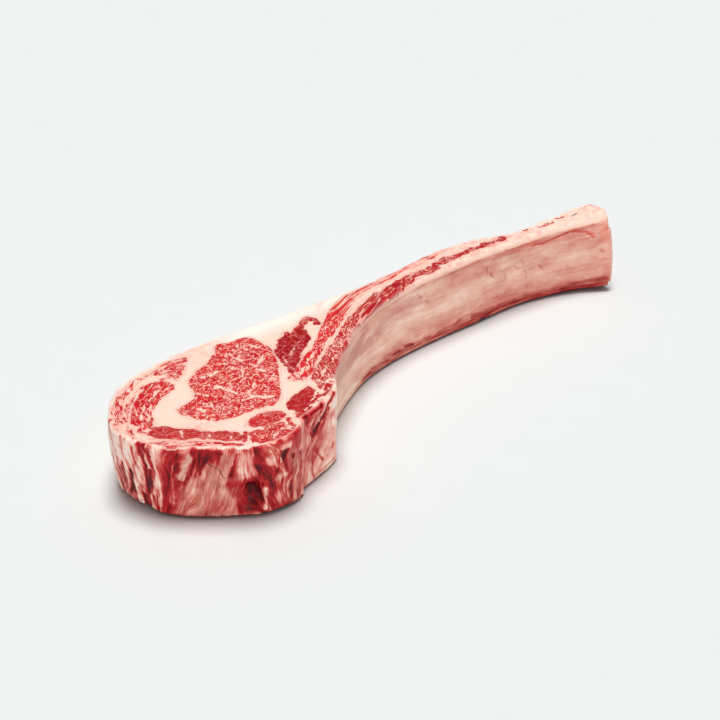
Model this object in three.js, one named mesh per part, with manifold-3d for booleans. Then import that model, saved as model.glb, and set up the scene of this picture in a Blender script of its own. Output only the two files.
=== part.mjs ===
// A raw tomahawk steak: one thick slice of rib eye, cut between its neighbours, with the long rib left on.
// Millimetres, +Z up. The steak lies on one cut face and the rib runs towards +X. The origin is the bottom
// centre of its box. Fat is the body that holds everything: the muscles are columns of lean that run through
// it from cut face to cut face, and the rib lies bare along its hollow side.
import * as THREE from "three";
import { mergeVertices } from "three/addons/utils/BufferGeometryUtils.js";
import Module from "manifold-3d";

const wasm = await Module();
wasm.setup();

// ---------------------------------------------------------------- driving dimensions
const THICKNESS = 57; // between the two cut faces
const GAP = 0.3; // between neighbouring pieces
const OVERRUN = 6; // how far a cutting tool reaches past the cut faces
const TRACE_STEP = 1; // how finely an outline is followed
const TRACE_TURN = 0.24; // radians it may turn between two kept points
const TRACE_REACH = 14; // and millimetres it may run
const RELIEF_CELL = 11; // size of the cells that carry the relief of the cut faces

const HEEL_X = -72; // where the hollow side of the rib meets the chine corner
const TIP_X = 212; // the sawn end of the rib
const HANDLE_START_X = -20; // beyond this the steak is only rib and rib meat
const SLIM_START_X = 90; // from here the rib narrows
const SLIM_END_X = 160;
const LIFT_START_X = 150; // from here the underside of the rib leaves the table
const TIP_LIFT = 2.5;
const TWIST_START_X = 110; // from here the foot of the rib turns out towards its hollow side
const TIP_TWIST = 23;
const TIP_TWIST_TOP = 0.2; // share of it at the upper cut face
const TIP_TWIST_BACK = 0.35; // share of it on the fat side

const EDGE_ROUND = 2.2; // the upper cut edge of the meat
const FOOT_ROUND = 3; // the lower edge, which sags on the table
const TIP_FOOT_ROUND = 5; // the same at the sawn end
const RIB_EDGE_ROUND = 4; // the upper edge of the hollow side
const SAWN_ROUND = 1.6; // both edges of the sawn end
const TIP_BACK = 50; // where the fat side of the sawn end stands
const TIP_FACE = 37.5; // where its bare side stands
const FRONT_END_X = -111; // the notch where the front wall meets the chine corner
const FRONT_TAPER = 1.6; // how far the front wall draws in towards the table
const END_TAPER = 4.5; // and how much farther the end across from the rib
const SAWN_LEAN = 7; // how far the foot of the sawn end is cut back
const HEEL_LEAN = 5; // how far the foot of the hollow side draws in near the heel
const HOLLOW_DEPTH = 0.9; // how far that side is hollowed at half height
const BACK_BULGE = 2; // how far the fat cap stands out at half height

// Low swellings of the upper cut face, where the eye and the cap dome, over a faint ripple.
const DOMES = [
  { x: -125, y: 6, reachX: 34, reachY: 30, height: 1.1 },
  { x: -182, y: 14, reachX: 16, reachY: 20, height: 0.7 },
];
const RIPPLE = { height: 0.5, lengthX: 19, lengthY: 13 };
const SEAM_SINK = 0.6; // how far the rest of the face lies below the nominal height
const WANDER = { x: 2.4, y: 2, lengthX: 31, lengthY: 37 }; // how muscles shift from cut face to cut face

const POCKET_PLACE = [-153.2, -55.9, 22]; // a hollow low in the front wall
const POCKET_RADII = [11, 7, 13];
const POCKET_TURN = -0.58; // radians about the upright, along the wall

const BONE_DEPTH = 12.5; // of the rib near the meat, measured from its bare face
const BONE_DEPTH_TIP = 11; // the same near the sawn end
const BONE_START = 4; // how far past the heel the bare face begins
const BONE_LOW = 5; // lower edge of the bare face
const BONE_HIGH = 51; // upper edge of the bare face near the meat
const BONE_HIGH_TIP = 46; // the same near the sawn end
const BONE_ARC = 10; // sides of its oval
const RIB_MEAT_REACH = 9; // how far the meat beside the rib comes over its edges

// The steak seen from above, from the sawn end anticlockwise along the fat cap and back along the rib.
const OUTLINE = [
  [211.2, 44.9], [206, 50.2], [165, 50.4], [139, 50.4], [104, 58.7], [70, 60.1], [25, 55.5],
  [-15, 54.1], [-55, 54.5], [-105, 57.5], [-155, 53.9], [-188, 44.5], [-205, 25.9], [-212, 5.9],
  [-205, -16.6], [-192, -31.1], [-161, -52.7], [-147, -60.3], [-124, -61.9], [-115, -57.5],
  [-110.5, -52.3], [-90, -44.7], [-76, -37.5], [-65.5, -22.1], [-41, 0.1], [-11, 20.3], [22, 32.3],
  [60, 36.7], [110, 37.9], [165, 37.9], [206, 36.5], [211.2, 38.9],
];

// The muscles at the upper cut face. Those that show at the wall run out past the outline.
const MUSCLES = {
  ribeye: [
    [-111, 48.9], [-101, 46.3], [-91, 45.5], [-84.8, 33.9], [-87, 15.9], [-99.5, -9.1], [-113, -27.5],
    [-132, -26.3], [-151, -24.7], [-162, -16.1], [-169.5, 1.5], [-153.4, 7.3], [-148, 22.5],
    [-139, 30.3], [-126, 34.5], [-118, 40.9],
  ],
  outer_cap: [
    [-202, 21.9], [-188, 38.9], [-162, 46.9], [-146, 49.9], [-135, 46.9], [-154, 29.3], [-158, 37.9],
    [-167, 41.9], [-185, 33.9], [-197, 20.7], [-203.6, 7.9], [-208, 9.9],
  ],
  cap: [
    [-157, 25.3], [-174, 15.7], [-183, 7.9], [-192, -5.1], [-200.2, 5.4], [-191, 23.4], [-176, 34.9],
    [-161, 33.9],
  ],
  front: [
    [-197.9, -9.3], [-188, -6.9], [-176.6, -16.7], [-164.3, -29.7], [-150.5, -40], [-149.4, -46.4],
    [-152.3, -48.7], [-173.3, -32.7], [-188.2, -21.7], [-196.5, -14.1],
  ],
  front_outer: [
    [-212.6, -9.6], [-200, -17.8], [-184.4, -28.1], [-167, -40.5], [-154.4, -51.3], [-154, -54.1],
    [-162, -49.3], [-177.2, -39], [-193, -32.1], [-201, -32.1], [-212, -23.1],
  ],
  corner: [
    [-145, -44.7], [-128, -48.5], [-121.5, -50.5], [-118.6, -57.1], [-118.6, -70.1], [-136, -71.1],
    [-138, -60.6], [-148, -54.5], [-147.6, -49.1],
  ],
  small: [
    [-142, -36.1], [-127, -31.1], [-119.5, -33.7], [-114.6, -40.1], [-123, -44.7], [-138.5, -41.5],
  ],
  chine: [
    [-110.5, -33.5], [-95, -25.5], [-88, -23.9], [-86.4, -40.1], [-88, -53.1], [-104, -61.1],
    [-108.6, -45.1],
  ],
  side: [
    [-80.4, 25.3], [-74.4, 31.5], [-61.6, 33.5], [-54.6, 36.7], [-53, 29.9], [-57, 18.9], [-70.4, 9.1],
    [-80.6, -3.9], [-85.4, -5.1], [-84.2, 9.9],
  ],
};
const DARK_MUSCLES = ["chine", "side"];

// Two long bands of lean beside the rib, each as places along its middle with its width there. The outer one
// runs from cut face to cut face. The inner one lies on the rib's edges, towards its neighbours.
const OUTER_STRIP = [
  [-87, -13.9, 6], [-54, 12.2, 7], [-38, 24.5, 10], [-23.5, 35.8, 12], [-8, 44.1, 9], [5, 47.5, 6],
  [40, 52.7, 4], [82, 55.7, 2.4],
];
const RIB_MEAT = [
  [-74, -33.1, 20], [-60, -14.1, 20], [-38, 3.9, 18], [-12, 21.9, 17], [12, 32.9, 15], [30, 39.9, 10],
  [62, 43.9, 8], [99, 46.3, 6], [131, 45.6, 3.4],
];

// ---------------------------------------------------------------- materials
const LEAN = new THREE.MeshStandardMaterial({ color: 0xb8343c, roughness: 0.45, metalness: 0 });
const DARK_LEAN = new THREE.MeshStandardMaterial({ color: 0x94202b, roughness: 0.42, metalness: 0 });
const FAT = new THREE.MeshStandardMaterial({ color: 0xf3cdbd, roughness: 0.5, metalness: 0 });
const BONE = new THREE.MeshStandardMaterial({ color: 0xdcae9c, roughness: 0.45, metalness: 0 });

// ---------------------------------------------------------------- small helpers
const smooth = (value, low, high) => THREE.MathUtils.smoothstep(value, low, high);
const mix = THREE.MathUtils.lerp;
const within01 = (value) => THREE.MathUtils.clamp(value, 0, 1);

// Points along the smooth closed curve through the given ones, anticlockwise from above, each with its
// outward normal. They lie closer together where the curve bends.
function trace(points, inset = 0) {
  const corners = points.map(([x, y]) => new THREE.Vector3(x, y, 0));
  if (THREE.ShapeUtils.area(corners) < 0) corners.reverse();
  const curve = new THREE.CatmullRomCurve3(corners, true, "centripetal");
  curve.arcLengthDivisions = 20 * points.length;
  const fine = curve.getSpacedPoints(Math.round(curve.getLength() / TRACE_STEP)).slice(0, -1);
  const kept = [];
  let run = TRACE_REACH;
  fine.forEach((here, i) => {
    const before = fine.at(i - 1);
    const after = fine[(i + 1) % fine.length];
    const normal = new THREE.Vector2(after.y - before.y, before.x - after.x).normalize();
    run += TRACE_STEP;
    if (run < TRACE_REACH && normal.angleTo(kept.at(-1).normal) < TRACE_TURN) return;
    kept.push({ x: here.x - inset * normal.x, y: here.y - inset * normal.y, normal });
    run = 0;
  });
  return kept;
}

// The outline of a band that is given by its middle and its widths.
function band(middle) {
  const side = (sign) =>
    middle.map(([x, y, width], i) => {
      const before = middle[Math.max(0, i - 1)];
      const after = middle[Math.min(middle.length - 1, i + 1)];
      const along = new THREE.Vector2(after[0] - before[0], after[1] - before[1]).setLength(width / 2);
      return [x - sign * along.y, y + sign * along.x];
    });
  return [...side(1), ...side(-1).reverse()];
}

// Two ways to lay a ring flat: seen from above, or as an upright section that starts at its outermost point.
const fromAbove = ([x, y]) => new THREE.Vector2(x, y);
const asSection = ([x, y, z], ring) => new THREE.Vector2(Math.hypot(x - ring[0][0], y - ring[0][1]), z);

// The triangles that close a ring, facing along the loft or against it.
function lid(ring, flatten, offset, forward) {
  const flat = ring.map((point) => flatten(point, ring));
  return THREE.ShapeUtils.triangulateShape(flat, []).flatMap((corners) =>
    (forward ? corners : corners.toReversed()).map((i) => i + offset),
  );
}

// A closed solid through rings of the same length, each anticlockwise about the direction the loft runs in.
function loft(rings, flatten = fromAbove) {
  const count = rings[0].length;
  const faces = [];
  for (let r = 0; r + 1 < rings.length; r++)
    for (let i = 0; i < count; i++) {
      const a = r * count + i;
      const b = r * count + ((i + 1) % count);
      faces.push(a, b, b + count, a, b + count, a + count);
    }
  faces.push(...lid(rings[0], flatten, 0, false));
  faces.push(...lid(rings.at(-1), flatten, (rings.length - 1) * count, true));
  const geometry = new THREE.BufferGeometry();
  geometry.setAttribute("position", new THREE.Float32BufferAttribute(rings.flat(2), 3));
  geometry.setIndex(faces);
  return manifold(geometry);
}

function manifold(geometry) {
  geometry.deleteAttribute("normal");
  geometry.deleteAttribute("uv");
  const merged = mergeVertices(geometry, 1e-4);
  const made = new wasm.Manifold(
    new wasm.Mesh({
      numProp: 3,
      vertProperties: new Float32Array(merged.attributes.position.array),
      triVerts: new Uint32Array(merged.index.array),
    }),
  );
  if (made.volume() < 0) throw new Error("a solid is inside out");
  return made;
}

function piece(name, shape, material) {
  const { vertProperties, triVerts } = shape.getMesh();
  const geometry = new THREE.BufferGeometry();
  geometry.setAttribute("position", new THREE.BufferAttribute(new Float32Array(vertProperties), 3));
  geometry.setIndex(new THREE.BufferAttribute(triVerts, 1));
  geometry.computeVertexNormals();
  const mesh = new THREE.Mesh(geometry, material);
  mesh.name = name;
  return mesh;
}

// ---------------------------------------------------------------- relief of the cut faces
function swell(x, y) {
  const ripple = RIPPLE.height * Math.sin(x / RIPPLE.lengthX + 0.6) * Math.sin(y / RIPPLE.lengthY + 1.1);
  return DOMES.reduce((total, dome) => {
    const away = ((x - dome.x) / dome.reachX) ** 2 + ((y - dome.y) / dome.reachY) ** 2;
    return total + dome.height * Math.exp(-away);
  }, ripple - SEAM_SINK);
}

const lift = (x) => TIP_LIFT * smooth(x, LIFT_START_X, TIP_X) ** 1.4;

// Every height in the steak follows its two cut faces.
function settle(x, y, z) {
  const share = within01(z / THICKNESS);
  return [x, y, z + lift(x) * (1 - share) + swell(x, y) * share];
}

// The space between the two cut faces, a little larger than the steak all round.
function slice() {
  const box = new THREE.Box2().setFromPoints(OUTLINE.map(([x, y]) => new THREE.Vector2(x, y)));
  box.expandByScalar(OVERRUN);
  const size = box.getSize(new THREE.Vector2());
  const columns = Math.round(size.x / RELIEF_CELL);
  const rows = Math.round(size.y / RELIEF_CELL);
  const block = new THREE.BoxGeometry(size.x, size.y, THICKNESS, columns, rows, 1);
  const centre = box.getCenter(new THREE.Vector2());
  block.translate(centre.x, centre.y, THICKNESS / 2);
  const place = block.attributes.position;
  for (let i = 0; i < place.count; i++)
    place.setXYZ(i, ...settle(place.getX(i), place.getY(i), place.getZ(i)));
  return manifold(block);
}

// ---------------------------------------------------------------- the outer wall
// How far the wall stands inside the outline where an edge of it is rounded.
function edgeInset({ x, normal }, z, hollow) {
  const sawn = smooth(normal.x, 0.5, 0.9);
  const tip = smooth(x, TWIST_START_X, TIP_X);
  const top = mix(mix(EDGE_ROUND, RIB_EDGE_ROUND, hollow), SAWN_ROUND, sawn);
  const foot = mix(mix(FOOT_ROUND, TIP_FOOT_ROUND, hollow * tip), SAWN_ROUND, sawn);
  const quarter = (radius, drop) => radius * (1 - Math.sqrt(1 - within01(drop / radius) ** 2));
  return quarter(top, z - (THICKNESS - top)) + quarter(foot, foot - z);
}

// How far it stands inside at a height: rounded edges, a tapered front, a full back and a hollow bare side.
function wallInset(point, z) {
  const { x, normal } = point;
  const height = z / THICKNESS;
  const belly = Math.sin(Math.PI * height);
  const hollow = smooth(-normal.y, 0.1, 0.5) * smooth(x, HEEL_X - 4, HEEL_X + 12);
  const back = smooth(normal.y, 0.1, 0.7);
  const beforeNotch = 1 - smooth(x, FRONT_END_X - 5, FRONT_END_X + 5);
  const front = smooth(-0.6 * normal.x - 0.8 * normal.y, 0.1, 0.7) * beforeNotch;
  const end = smooth(-normal.x, 0.55, 1) * (1 - hollow);
  const heel = hollow * (1 - smooth(x, HANDLE_START_X - 10, HANDLE_START_X + 60));
  const taper = (FRONT_TAPER * front + END_TAPER * end + HEEL_LEAN * heel) * (1 - height) ** 1.5;
  return edgeInset(point, z, hollow) + taper + (HOLLOW_DEPTH * hollow - BACK_BULGE * back) * belly;
}

// Towards the sawn end the rib turns about its own length: its foot stands out, most on the bare side.
function twist(x, y, z) {
  const along = within01((x - TWIST_START_X) / (TIP_X - TWIST_START_X)) ** 2;
  const down = mix(TIP_TWIST_TOP, 1, Math.cos((Math.PI / 2) * within01(z / THICKNESS)) ** 0.7);
  const bare = within01((TIP_BACK - y) / (TIP_BACK - TIP_FACE));
  return TIP_TWIST * along * down * mix(TIP_TWIST_BACK, 1, bare);
}

// The saw went through the rib on a slant, so its end is shorter at the foot.
function sawCut(x, z) {
  const near = smooth(x, TIP_X - 5 * SAWN_LEAN, TIP_X);
  return SAWN_LEAN * near * within01(1 - z / THICKNESS);
}

// The place in the steak of a point that lies inside the outline by an inset, at a height.
function inside({ x, y, normal }, inset, z) {
  return settle(x - inset * normal.x - sawCut(x, z), y - inset * normal.y - twist(x, y, z), z);
}

const WALL_HEIGHTS = [0, 1, 4.5, 16, 30, 42, 49, 53, 55.8, THICKNESS];

function outerWall() {
  const ringAt = (z) => trace(OUTLINE).map((point) => inside(point, wallInset(point, z), z));
  const shifted = (ring, by) => ring.map(([x, y, z]) => [x, y, z + by]);
  const rings = WALL_HEIGHTS.map(ringAt);
  return loft([shifted(rings[0], -OVERRUN), ...rings, shifted(rings.at(-1), OVERRUN)]);
}

// Low on the front wall a muscle has been pulled away and left a pocket.
function pocket() {
  const ball = new THREE.SphereGeometry(1, 14, 9);
  ball.scale(...POCKET_RADII);
  ball.rotateZ(POCKET_TURN);
  ball.translate(...POCKET_PLACE);
  return manifold(ball);
}

// ---------------------------------------------------------------- columns of lean
// A muscle wanders a little on its way down. All of them wander alike, so the seams keep their width.
function wander({ x, y }, z) {
  const depth = 1 - z / THICKNESS;
  return [
    x + WANDER.x * depth * Math.sin(y / WANDER.lengthX + 0.8),
    y + WANDER.y * depth * Math.sin(x / WANDER.lengthY - 0.4),
    z,
  ];
}

function column(outline, inset, low = -OVERRUN, high = THICKNESS + OVERRUN) {
  const ring = trace(outline, inset);
  return loft([low, high].map((z) => ring.map((point) => wander(point, z))));
}

// ---------------------------------------------------------------- the rib
// The rib is a long blade of half-oval section. Its flat side follows the hollow wall from heel to tip.
function ribStations(shrink) {
  const wall = trace(OUTLINE);
  const hollow = wall.filter(({ x, normal }, i) => i > wall.length / 2 && x > HEEL_X && x < TIP_X - 8);
  const heel = new THREE.Vector2(hollow[0].x, hollow[0].y);
  const ahead = new THREE.Vector2(hollow[1].x, hollow[1].y).sub(heel).setLength(BONE_START + shrink);
  hollow[0] = { x: heel.x + ahead.x, y: heel.y + ahead.y, normal: hollow[1].normal };
  return [...hollow, { x: TIP_X + OVERRUN, y: hollow.at(-1).y, normal: new THREE.Vector2(0, -1) }];
}

function ribBlade(shrink) {
  const sections = ribStations(shrink).map((station) => {
    const slim = smooth(station.x, SLIM_START_X, SLIM_END_X);
    const high = mix(BONE_HIGH, BONE_HIGH_TIP, slim);
    const middle = (BONE_LOW + high) / 2;
    const half = (high - BONE_LOW) / 2 - shrink;
    const depth = mix(BONE_DEPTH, BONE_DEPTH_TIP, slim) - shrink;
    const oval = Array.from({ length: BONE_ARC + 1 }, (_, k) => {
      const angle = (Math.PI * k) / BONE_ARC;
      return inside(station, depth * Math.sin(angle) ** 0.8, middle - half * Math.cos(angle));
    });
    return [inside(station, -OVERRUN, middle - half), ...oval, inside(station, -OVERRUN, middle + half)];
  });
  return loft(sections, asSection);
}

// ---------------------------------------------------------------- the whole steak
function build() {
  const body = outerWall().intersect(slice()).subtract(pocket());
  const steak = new THREE.Group();
  steak.add(piece("rib_bone", body.intersect(ribBlade(GAP)), BONE));
  let rest = body.subtract(ribBlade(0));

  // Each piece is cut out of what is left, a gap smaller than the room it is given.
  function carve(name, outline, material, low = -OVERRUN, high = THICKNESS + OVERRUN) {
    const room = column(outline, 0, low, high);
    const bare = column(outline, GAP, low < 0 ? low : low + GAP, high > THICKNESS ? high : high - GAP);
    steak.add(piece(name, rest.intersect(room).intersect(bare), material));
    rest = rest.subtract(room);
  }
  for (const [name, outline] of Object.entries(MUSCLES))
    carve(`${name}_muscle`, outline, DARK_MUSCLES.includes(name) ? DARK_LEAN : LEAN);
  carve("outer_strip_muscle", band(OUTER_STRIP), LEAN);
  carve("rib_meat_upper", band(RIB_MEAT), DARK_LEAN, BONE_HIGH - RIB_MEAT_REACH);
  carve("rib_meat_lower", band(RIB_MEAT), DARK_LEAN, -OVERRUN, BONE_LOW + RIB_MEAT_REACH);
  steak.add(piece("fat", rest, FAT));
  return steak;
}

export default build();
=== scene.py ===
# A raw tomahawk steak: the fine surface, finish, floor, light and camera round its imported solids.
# Lengths are millimetres in the solids' own frame and turn into metres where a mesh is made; the floor, the
# light, the camera and the materials' own distances are in metres throughout.
import itertools
import math

import bpy
import numpy as np
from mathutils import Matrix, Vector
from mathutils.geometry import delaunay_2d_cdt


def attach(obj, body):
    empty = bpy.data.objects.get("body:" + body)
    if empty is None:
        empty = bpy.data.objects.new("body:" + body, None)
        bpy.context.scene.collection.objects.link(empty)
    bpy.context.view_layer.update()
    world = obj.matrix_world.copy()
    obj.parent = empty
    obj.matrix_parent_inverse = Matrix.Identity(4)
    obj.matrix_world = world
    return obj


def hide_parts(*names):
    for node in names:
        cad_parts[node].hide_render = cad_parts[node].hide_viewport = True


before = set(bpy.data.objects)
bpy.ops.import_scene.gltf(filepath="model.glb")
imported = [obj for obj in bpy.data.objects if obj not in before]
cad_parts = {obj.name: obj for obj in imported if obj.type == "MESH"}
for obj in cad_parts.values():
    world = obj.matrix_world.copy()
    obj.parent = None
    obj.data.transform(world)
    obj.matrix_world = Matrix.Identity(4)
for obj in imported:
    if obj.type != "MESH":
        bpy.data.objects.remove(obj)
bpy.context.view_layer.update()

MM = 0.001

# ---------------- the solids' driving dimensions
THICKNESS = 57
HEEL_X = -72
TIP_X = 212
HANDLE_START_X = -20
SLIM_START_X = 90
SLIM_END_X = 160
LIFT_START_X = 150
TIP_LIFT = 2.5
TWIST_START_X = 110
TIP_TWIST = 23
TIP_TWIST_TOP = 0.2
TIP_TWIST_BACK = 0.35
EDGE_ROUND = 2.2
FOOT_ROUND = 3
TIP_FOOT_ROUND = 5
RIB_EDGE_ROUND = 4
SAWN_ROUND = 1.6
TIP_BACK = 50
TIP_FACE = 37.5
FRONT_END_X = -111
FRONT_TAPER = 1.6
END_TAPER = 4.5
SAWN_LEAN = 7
HEEL_LEAN = 5
HOLLOW_DEPTH = 0.9
BACK_BULGE = 2
DOMES = [(-125, 6, 34, 30, 1.1), (-182, 14, 16, 20, 0.7)]  # x, y, reach along x and y, height
RIPPLE = (0.5, 19, 13)  # height, length along x and y
SEAM_SINK = 0.6
WANDER = (2.4, 2, 31, 37)  # how far the lean strays on its way down, along x and y, and in what lengths
BONE_DEPTH = 12.5
BONE_DEPTH_TIP = 11
BONE_START = 4
BONE_LOW = 5
BONE_HIGH = 51
BONE_HIGH_TIP = 46

OUTLINE = [
    (211.2, 44.9), (206, 50.2), (165, 50.4), (139, 50.4), (104, 58.7), (70, 60.1), (25, 55.5), (-15, 54.1),
    (-55, 54.5), (-105, 57.5), (-155, 53.9), (-188, 44.5), (-205, 25.9), (-212, 5.9), (-205, -16.6),
    (-192, -31.1), (-161, -52.7), (-147, -60.3), (-124, -61.9), (-115, -57.5), (-110.5, -52.3), (-90, -44.7),
    (-76, -37.5), (-65.5, -22.1), (-41, 0.1), (-11, 20.3), (22, 32.3), (60, 36.7), (110, 37.9), (165, 37.9),
    (206, 36.5), (211.2, 38.9),
]
MUSCLES = {
    "ribeye": [
        (-111, 48.9), (-101, 46.3), (-91, 45.5), (-84.8, 33.9), (-87, 15.9), (-99.5, -9.1), (-113, -27.5),
        (-132, -26.3), (-151, -24.7), (-162, -16.1), (-169.5, 1.5), (-153.4, 7.3), (-148, 22.5), (-139, 30.3),
        (-126, 34.5), (-118, 40.9),
    ],
    "outer_cap": [
        (-202, 21.9), (-188, 38.9), (-162, 46.9), (-146, 49.9), (-135, 46.9), (-154, 29.3), (-158, 37.9),
        (-167, 41.9), (-185, 33.9), (-197, 20.7), (-203.6, 7.9), (-208, 9.9),
    ],
    "cap": [
        (-157, 25.3), (-174, 15.7), (-183, 7.9), (-192, -5.1), (-200.2, 5.4), (-191, 23.4), (-176, 34.9),
        (-161, 33.9),
    ],
    "front": [
        (-197.9, -9.3), (-188, -6.9), (-176.6, -16.7), (-164.3, -29.7), (-150.5, -40), (-149.4, -46.4),
        (-152.3, -48.7), (-173.3, -32.7), (-188.2, -21.7), (-196.5, -14.1),
    ],
    "front_outer": [
        (-212.6, -9.6), (-200, -17.8), (-184.4, -28.1), (-167, -40.5), (-154.4, -51.3), (-154, -54.1),
        (-162, -49.3), (-177.2, -39), (-193, -32.1), (-201, -32.1), (-212, -23.1),
    ],
    "corner": [
        (-145, -44.7), (-128, -48.5), (-121.5, -50.5), (-118.6, -57.1), (-118.6, -70.1), (-136, -71.1),
        (-138, -60.6), (-148, -54.5), (-147.6, -49.1),
    ],
    "small": [
        (-142, -36.1), (-127, -31.1), (-119.5, -33.7), (-114.6, -40.1), (-123, -44.7), (-138.5, -41.5),
    ],
    "chine": [
        (-110.5, -33.5), (-95, -25.5), (-88, -23.9), (-86.4, -40.1), (-88, -53.1), (-104, -61.1),
        (-108.6, -45.1),
    ],
    "side": [
        (-80.4, 25.3), (-74.4, 31.5), (-61.6, 33.5), (-54.6, 36.7), (-53, 29.9), (-57, 18.9), (-70.4, 9.1),
        (-80.6, -3.9), (-85.4, -5.1), (-84.2, 9.9),
    ],
}
OUTER_STRIP = [
    (-87, -13.9, 6), (-54, 12.2, 7), (-38, 24.5, 10), (-23.5, 35.8, 12), (-8, 44.1, 9), (5, 47.5, 6),
    (40, 52.7, 4), (82, 55.7, 2.4),
]
RIB_MEAT = [
    (-74, -33.1, 20), (-60, -14.1, 20), (-38, 3.9, 18), (-12, 21.9, 17), (12, 32.9, 15), (30, 39.9, 10),
    (62, 43.9, 8), (99, 46.3, 6), (131, 45.6, 3.4),
]

# ---------------- how each muscle looks where it is cut
# The angle of its fibres in degrees, how far its flecks are drawn out along them, and its share of flecks,
# of darkness and of lobes. Without an angle they run round CAP_CENTRE, and in a band along its middle.
LEAN_LOOKS = {
    "ribeye": (15, 1.3, 0.94, 0.1, 0.0),
    "outer_cap": (None, 2.8, 1.43, 0.15, 0.0),
    "cap": (None, 2.4, 0.74, 0.2, 0.0),
    "front": (-38, 1.8, 0.3, 0.5, 0.2),
    "front_outer": (-36, 3.0, 0.85, 0.25, 0.0),
    "corner": (-8, 1.8, 0.75, 0.32, 0.1),
    "small": (-12, 1.6, 0.4, 0.3, 0.1),
    "chine": (25, 1.4, 0.05, 0.66, 0.2),
    "side": (60, 1.3, 0.0, 0.92, 0.32),
    "outer_strip": ("band", 2.6, 0.9, 0.0, 0.0),
    "rib_meat": ("band", 1.5, 0.75, 0.5, 0.0),
}
# Torn shreds of lean beyond those outlines: how wide, then x and y of each place.
SHREDS = {
    "outer_cap": [
        (1.6, -212, -7, -211, 3, -207.5, 13, -203, 21), (1.4, -207, -9, -206, 2),
        (2.2, -208, 16, -201, 26, -193, 34), (1.8, -210, 4, -207, 14), (2.4, -201, 9, -197, 18, -189, 27),
        (2, -205, -4, -203, 4), (2, -200, -5, -192, -13), (2.6, -160, 35, -152, 32),
        (2.6, -151, 46, -141, 43), (2, -149, 40, -143, 38),
    ],
    "cap": [(3.4, -199, -4, -190, 1), (3, -191, -6, -186, -12), (3, -189, -9, -183, -18)],
    "front": [(3, -190, -15, -186, -19), (3, -152, -50, -149, -47, -146, -43)],
    "corner": [(5, -110, -46, -105, -51), (3.6, -117, -46, -119, -54), (4, -134, -46, -122, -48)],
    "chine": [
        (3.2, -112, -56.5, -108, -54, -97, -49, -86, -43.5, -76, -37.5), (5, -101, -46.5, -93, -42.5),
        (4, -107, -41, -104, -47), (3, -88, -38, -80, -36),
    ],
    "rib_meat": [
        (6, -79, -20, -72, -12, -62, -7), (5, -79, -25, -76, -34), (4, -72, -23, -72, -31),
        (4, -82, -30, -79, -36),
    ],
    "side": [
        (4.5, -60, 31, -54, 34), (3.4, -88, -6, -86.5, 8, -82, 22), (4, -70, 27, -67, 34),
        (5.5, -58, 33, -51, 37, -47, 40), (4, -46, 41, -42, 36, -43, 31),
    ],
    "outer_strip": [(8, -90, -12, -80, -6, -70, 3), (5, -86, -15, -76, -10), (5, -86, -8, -77, 1)],
}
# Veins of fat through the lean, given alike.
VEINS = [
    (1.9, -137, 8, -133, 1, -130, -5), (3, -134, 21, -128, 22), (1.5, -110, 35, -109, 27, -108, 22),
    (1.5, -118, 20, -114, 13, -117, 7), (1.9, -106, 9, -102, 4), (1.9, -104, 12, -98, 16, -93, 20),
    (2, -124, -12, -118, -19, -112, -21), (1.4, -131, -14, -124, -15), (1.2, -115, -4, -120, -8, -126, -10),
    (1.3, -101, 41, -98, 33), (1.3, -94, 37, -90, 28), (1.4, -150, 9, -146, 3), (1.5, -150, -13, -149, -4),
    (1.7, -156, -9, -157, -4), (1.1, -142, 26, -136, 20), (1.2, -122, 30, -118, 26),
    (1.1, -100, -2, -106, -6), (1.5, -204, 1, -198, 12, -188, 24, -177, 33),
    (1.1, -196, -2, -190, 10, -180, 20, -168, 26), (1, -190, 2, -181, 14),
    (1.3, -197, 21, -187, 32, -173, 40), (1, -186, 36, -172, 44, -158, 47), (0.8, -181, -25, -178, -19),
    (0.6, -167, -34, -163, -29), (0.6, -157, -43, -154, -38), (1, -192, -26, -178, -36, -166, -45),
    (1.2, -136, -57, -128, -53, -120, -54), (0.5, -79, 11, -70, 18, -63, 22),
    (1.4, -81, -21, -77, -26, -70, -27), (1.2, -95, -38, -90, -36, -87, -31),
    (1.3, -103, -44, -94, -40, -86, -39), (1.2, -74, -20, -66, -13), (1, -60, -10, -52, -3),
    (1.1, -82, -3, -72, 5, -62, 11), (1, -84, -10, -72, -1, -60, 8),
]
CAP_CENTRE = (-150, 0)  # the fibres of the two cap muscles run round this place
UNDERCUT = 1.5  # how far the soft foot is drawn in under the walls, for each millimetre of its height
# How high that reaches, by place along the outline.
UNDERCUT_HIGH = [
    (0, 2), (432, 3), (450, 5.2), (470, 4.8), (486, 2.6), (545, 3), (585, 2.8), (640, 2.2), (960, 2),
]
LOW_BULGE = 2.6  # of the flesh under the rib, outwards
PAINTED_SHADE_TONE = 1.1  # the tone painted on the drawn-in foot as shade under the walls
BEHIND_RIB = 1.7  # how far the flesh's wall is drawn in where the rib lies bare before it

# ---------------- fineness
FINE_STEP = 0.66  # between the wall's columns where it is seen close
COARSE_STEP = 1.35
FINE_FROM = 436  # along the outline
FINE_TO = 642
WALL_ROW = 0.85  # between its rows, from ROWS_FROM up
ROWS_FROM = 3.9
FOOT_ROWS = [0, 0.3, 0.8, 1.2, 1.6, 2, 2.4, 2.8, 3.3]
EDGE_ROWS = [0, 0.12, 0.5, 1.1, 1.9, 2.9]  # down from the upper face
TOP_CELL = 1.25
BASE_CELL = 2.6


# ---------------- arithmetic
def smooth(value, low, high):
    share = np.clip((value - low) / (high - low), 0, 1)
    return share * share * (3 - 2 * share)


def mix(a, b, share):
    return a + (b - a) * share


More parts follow.
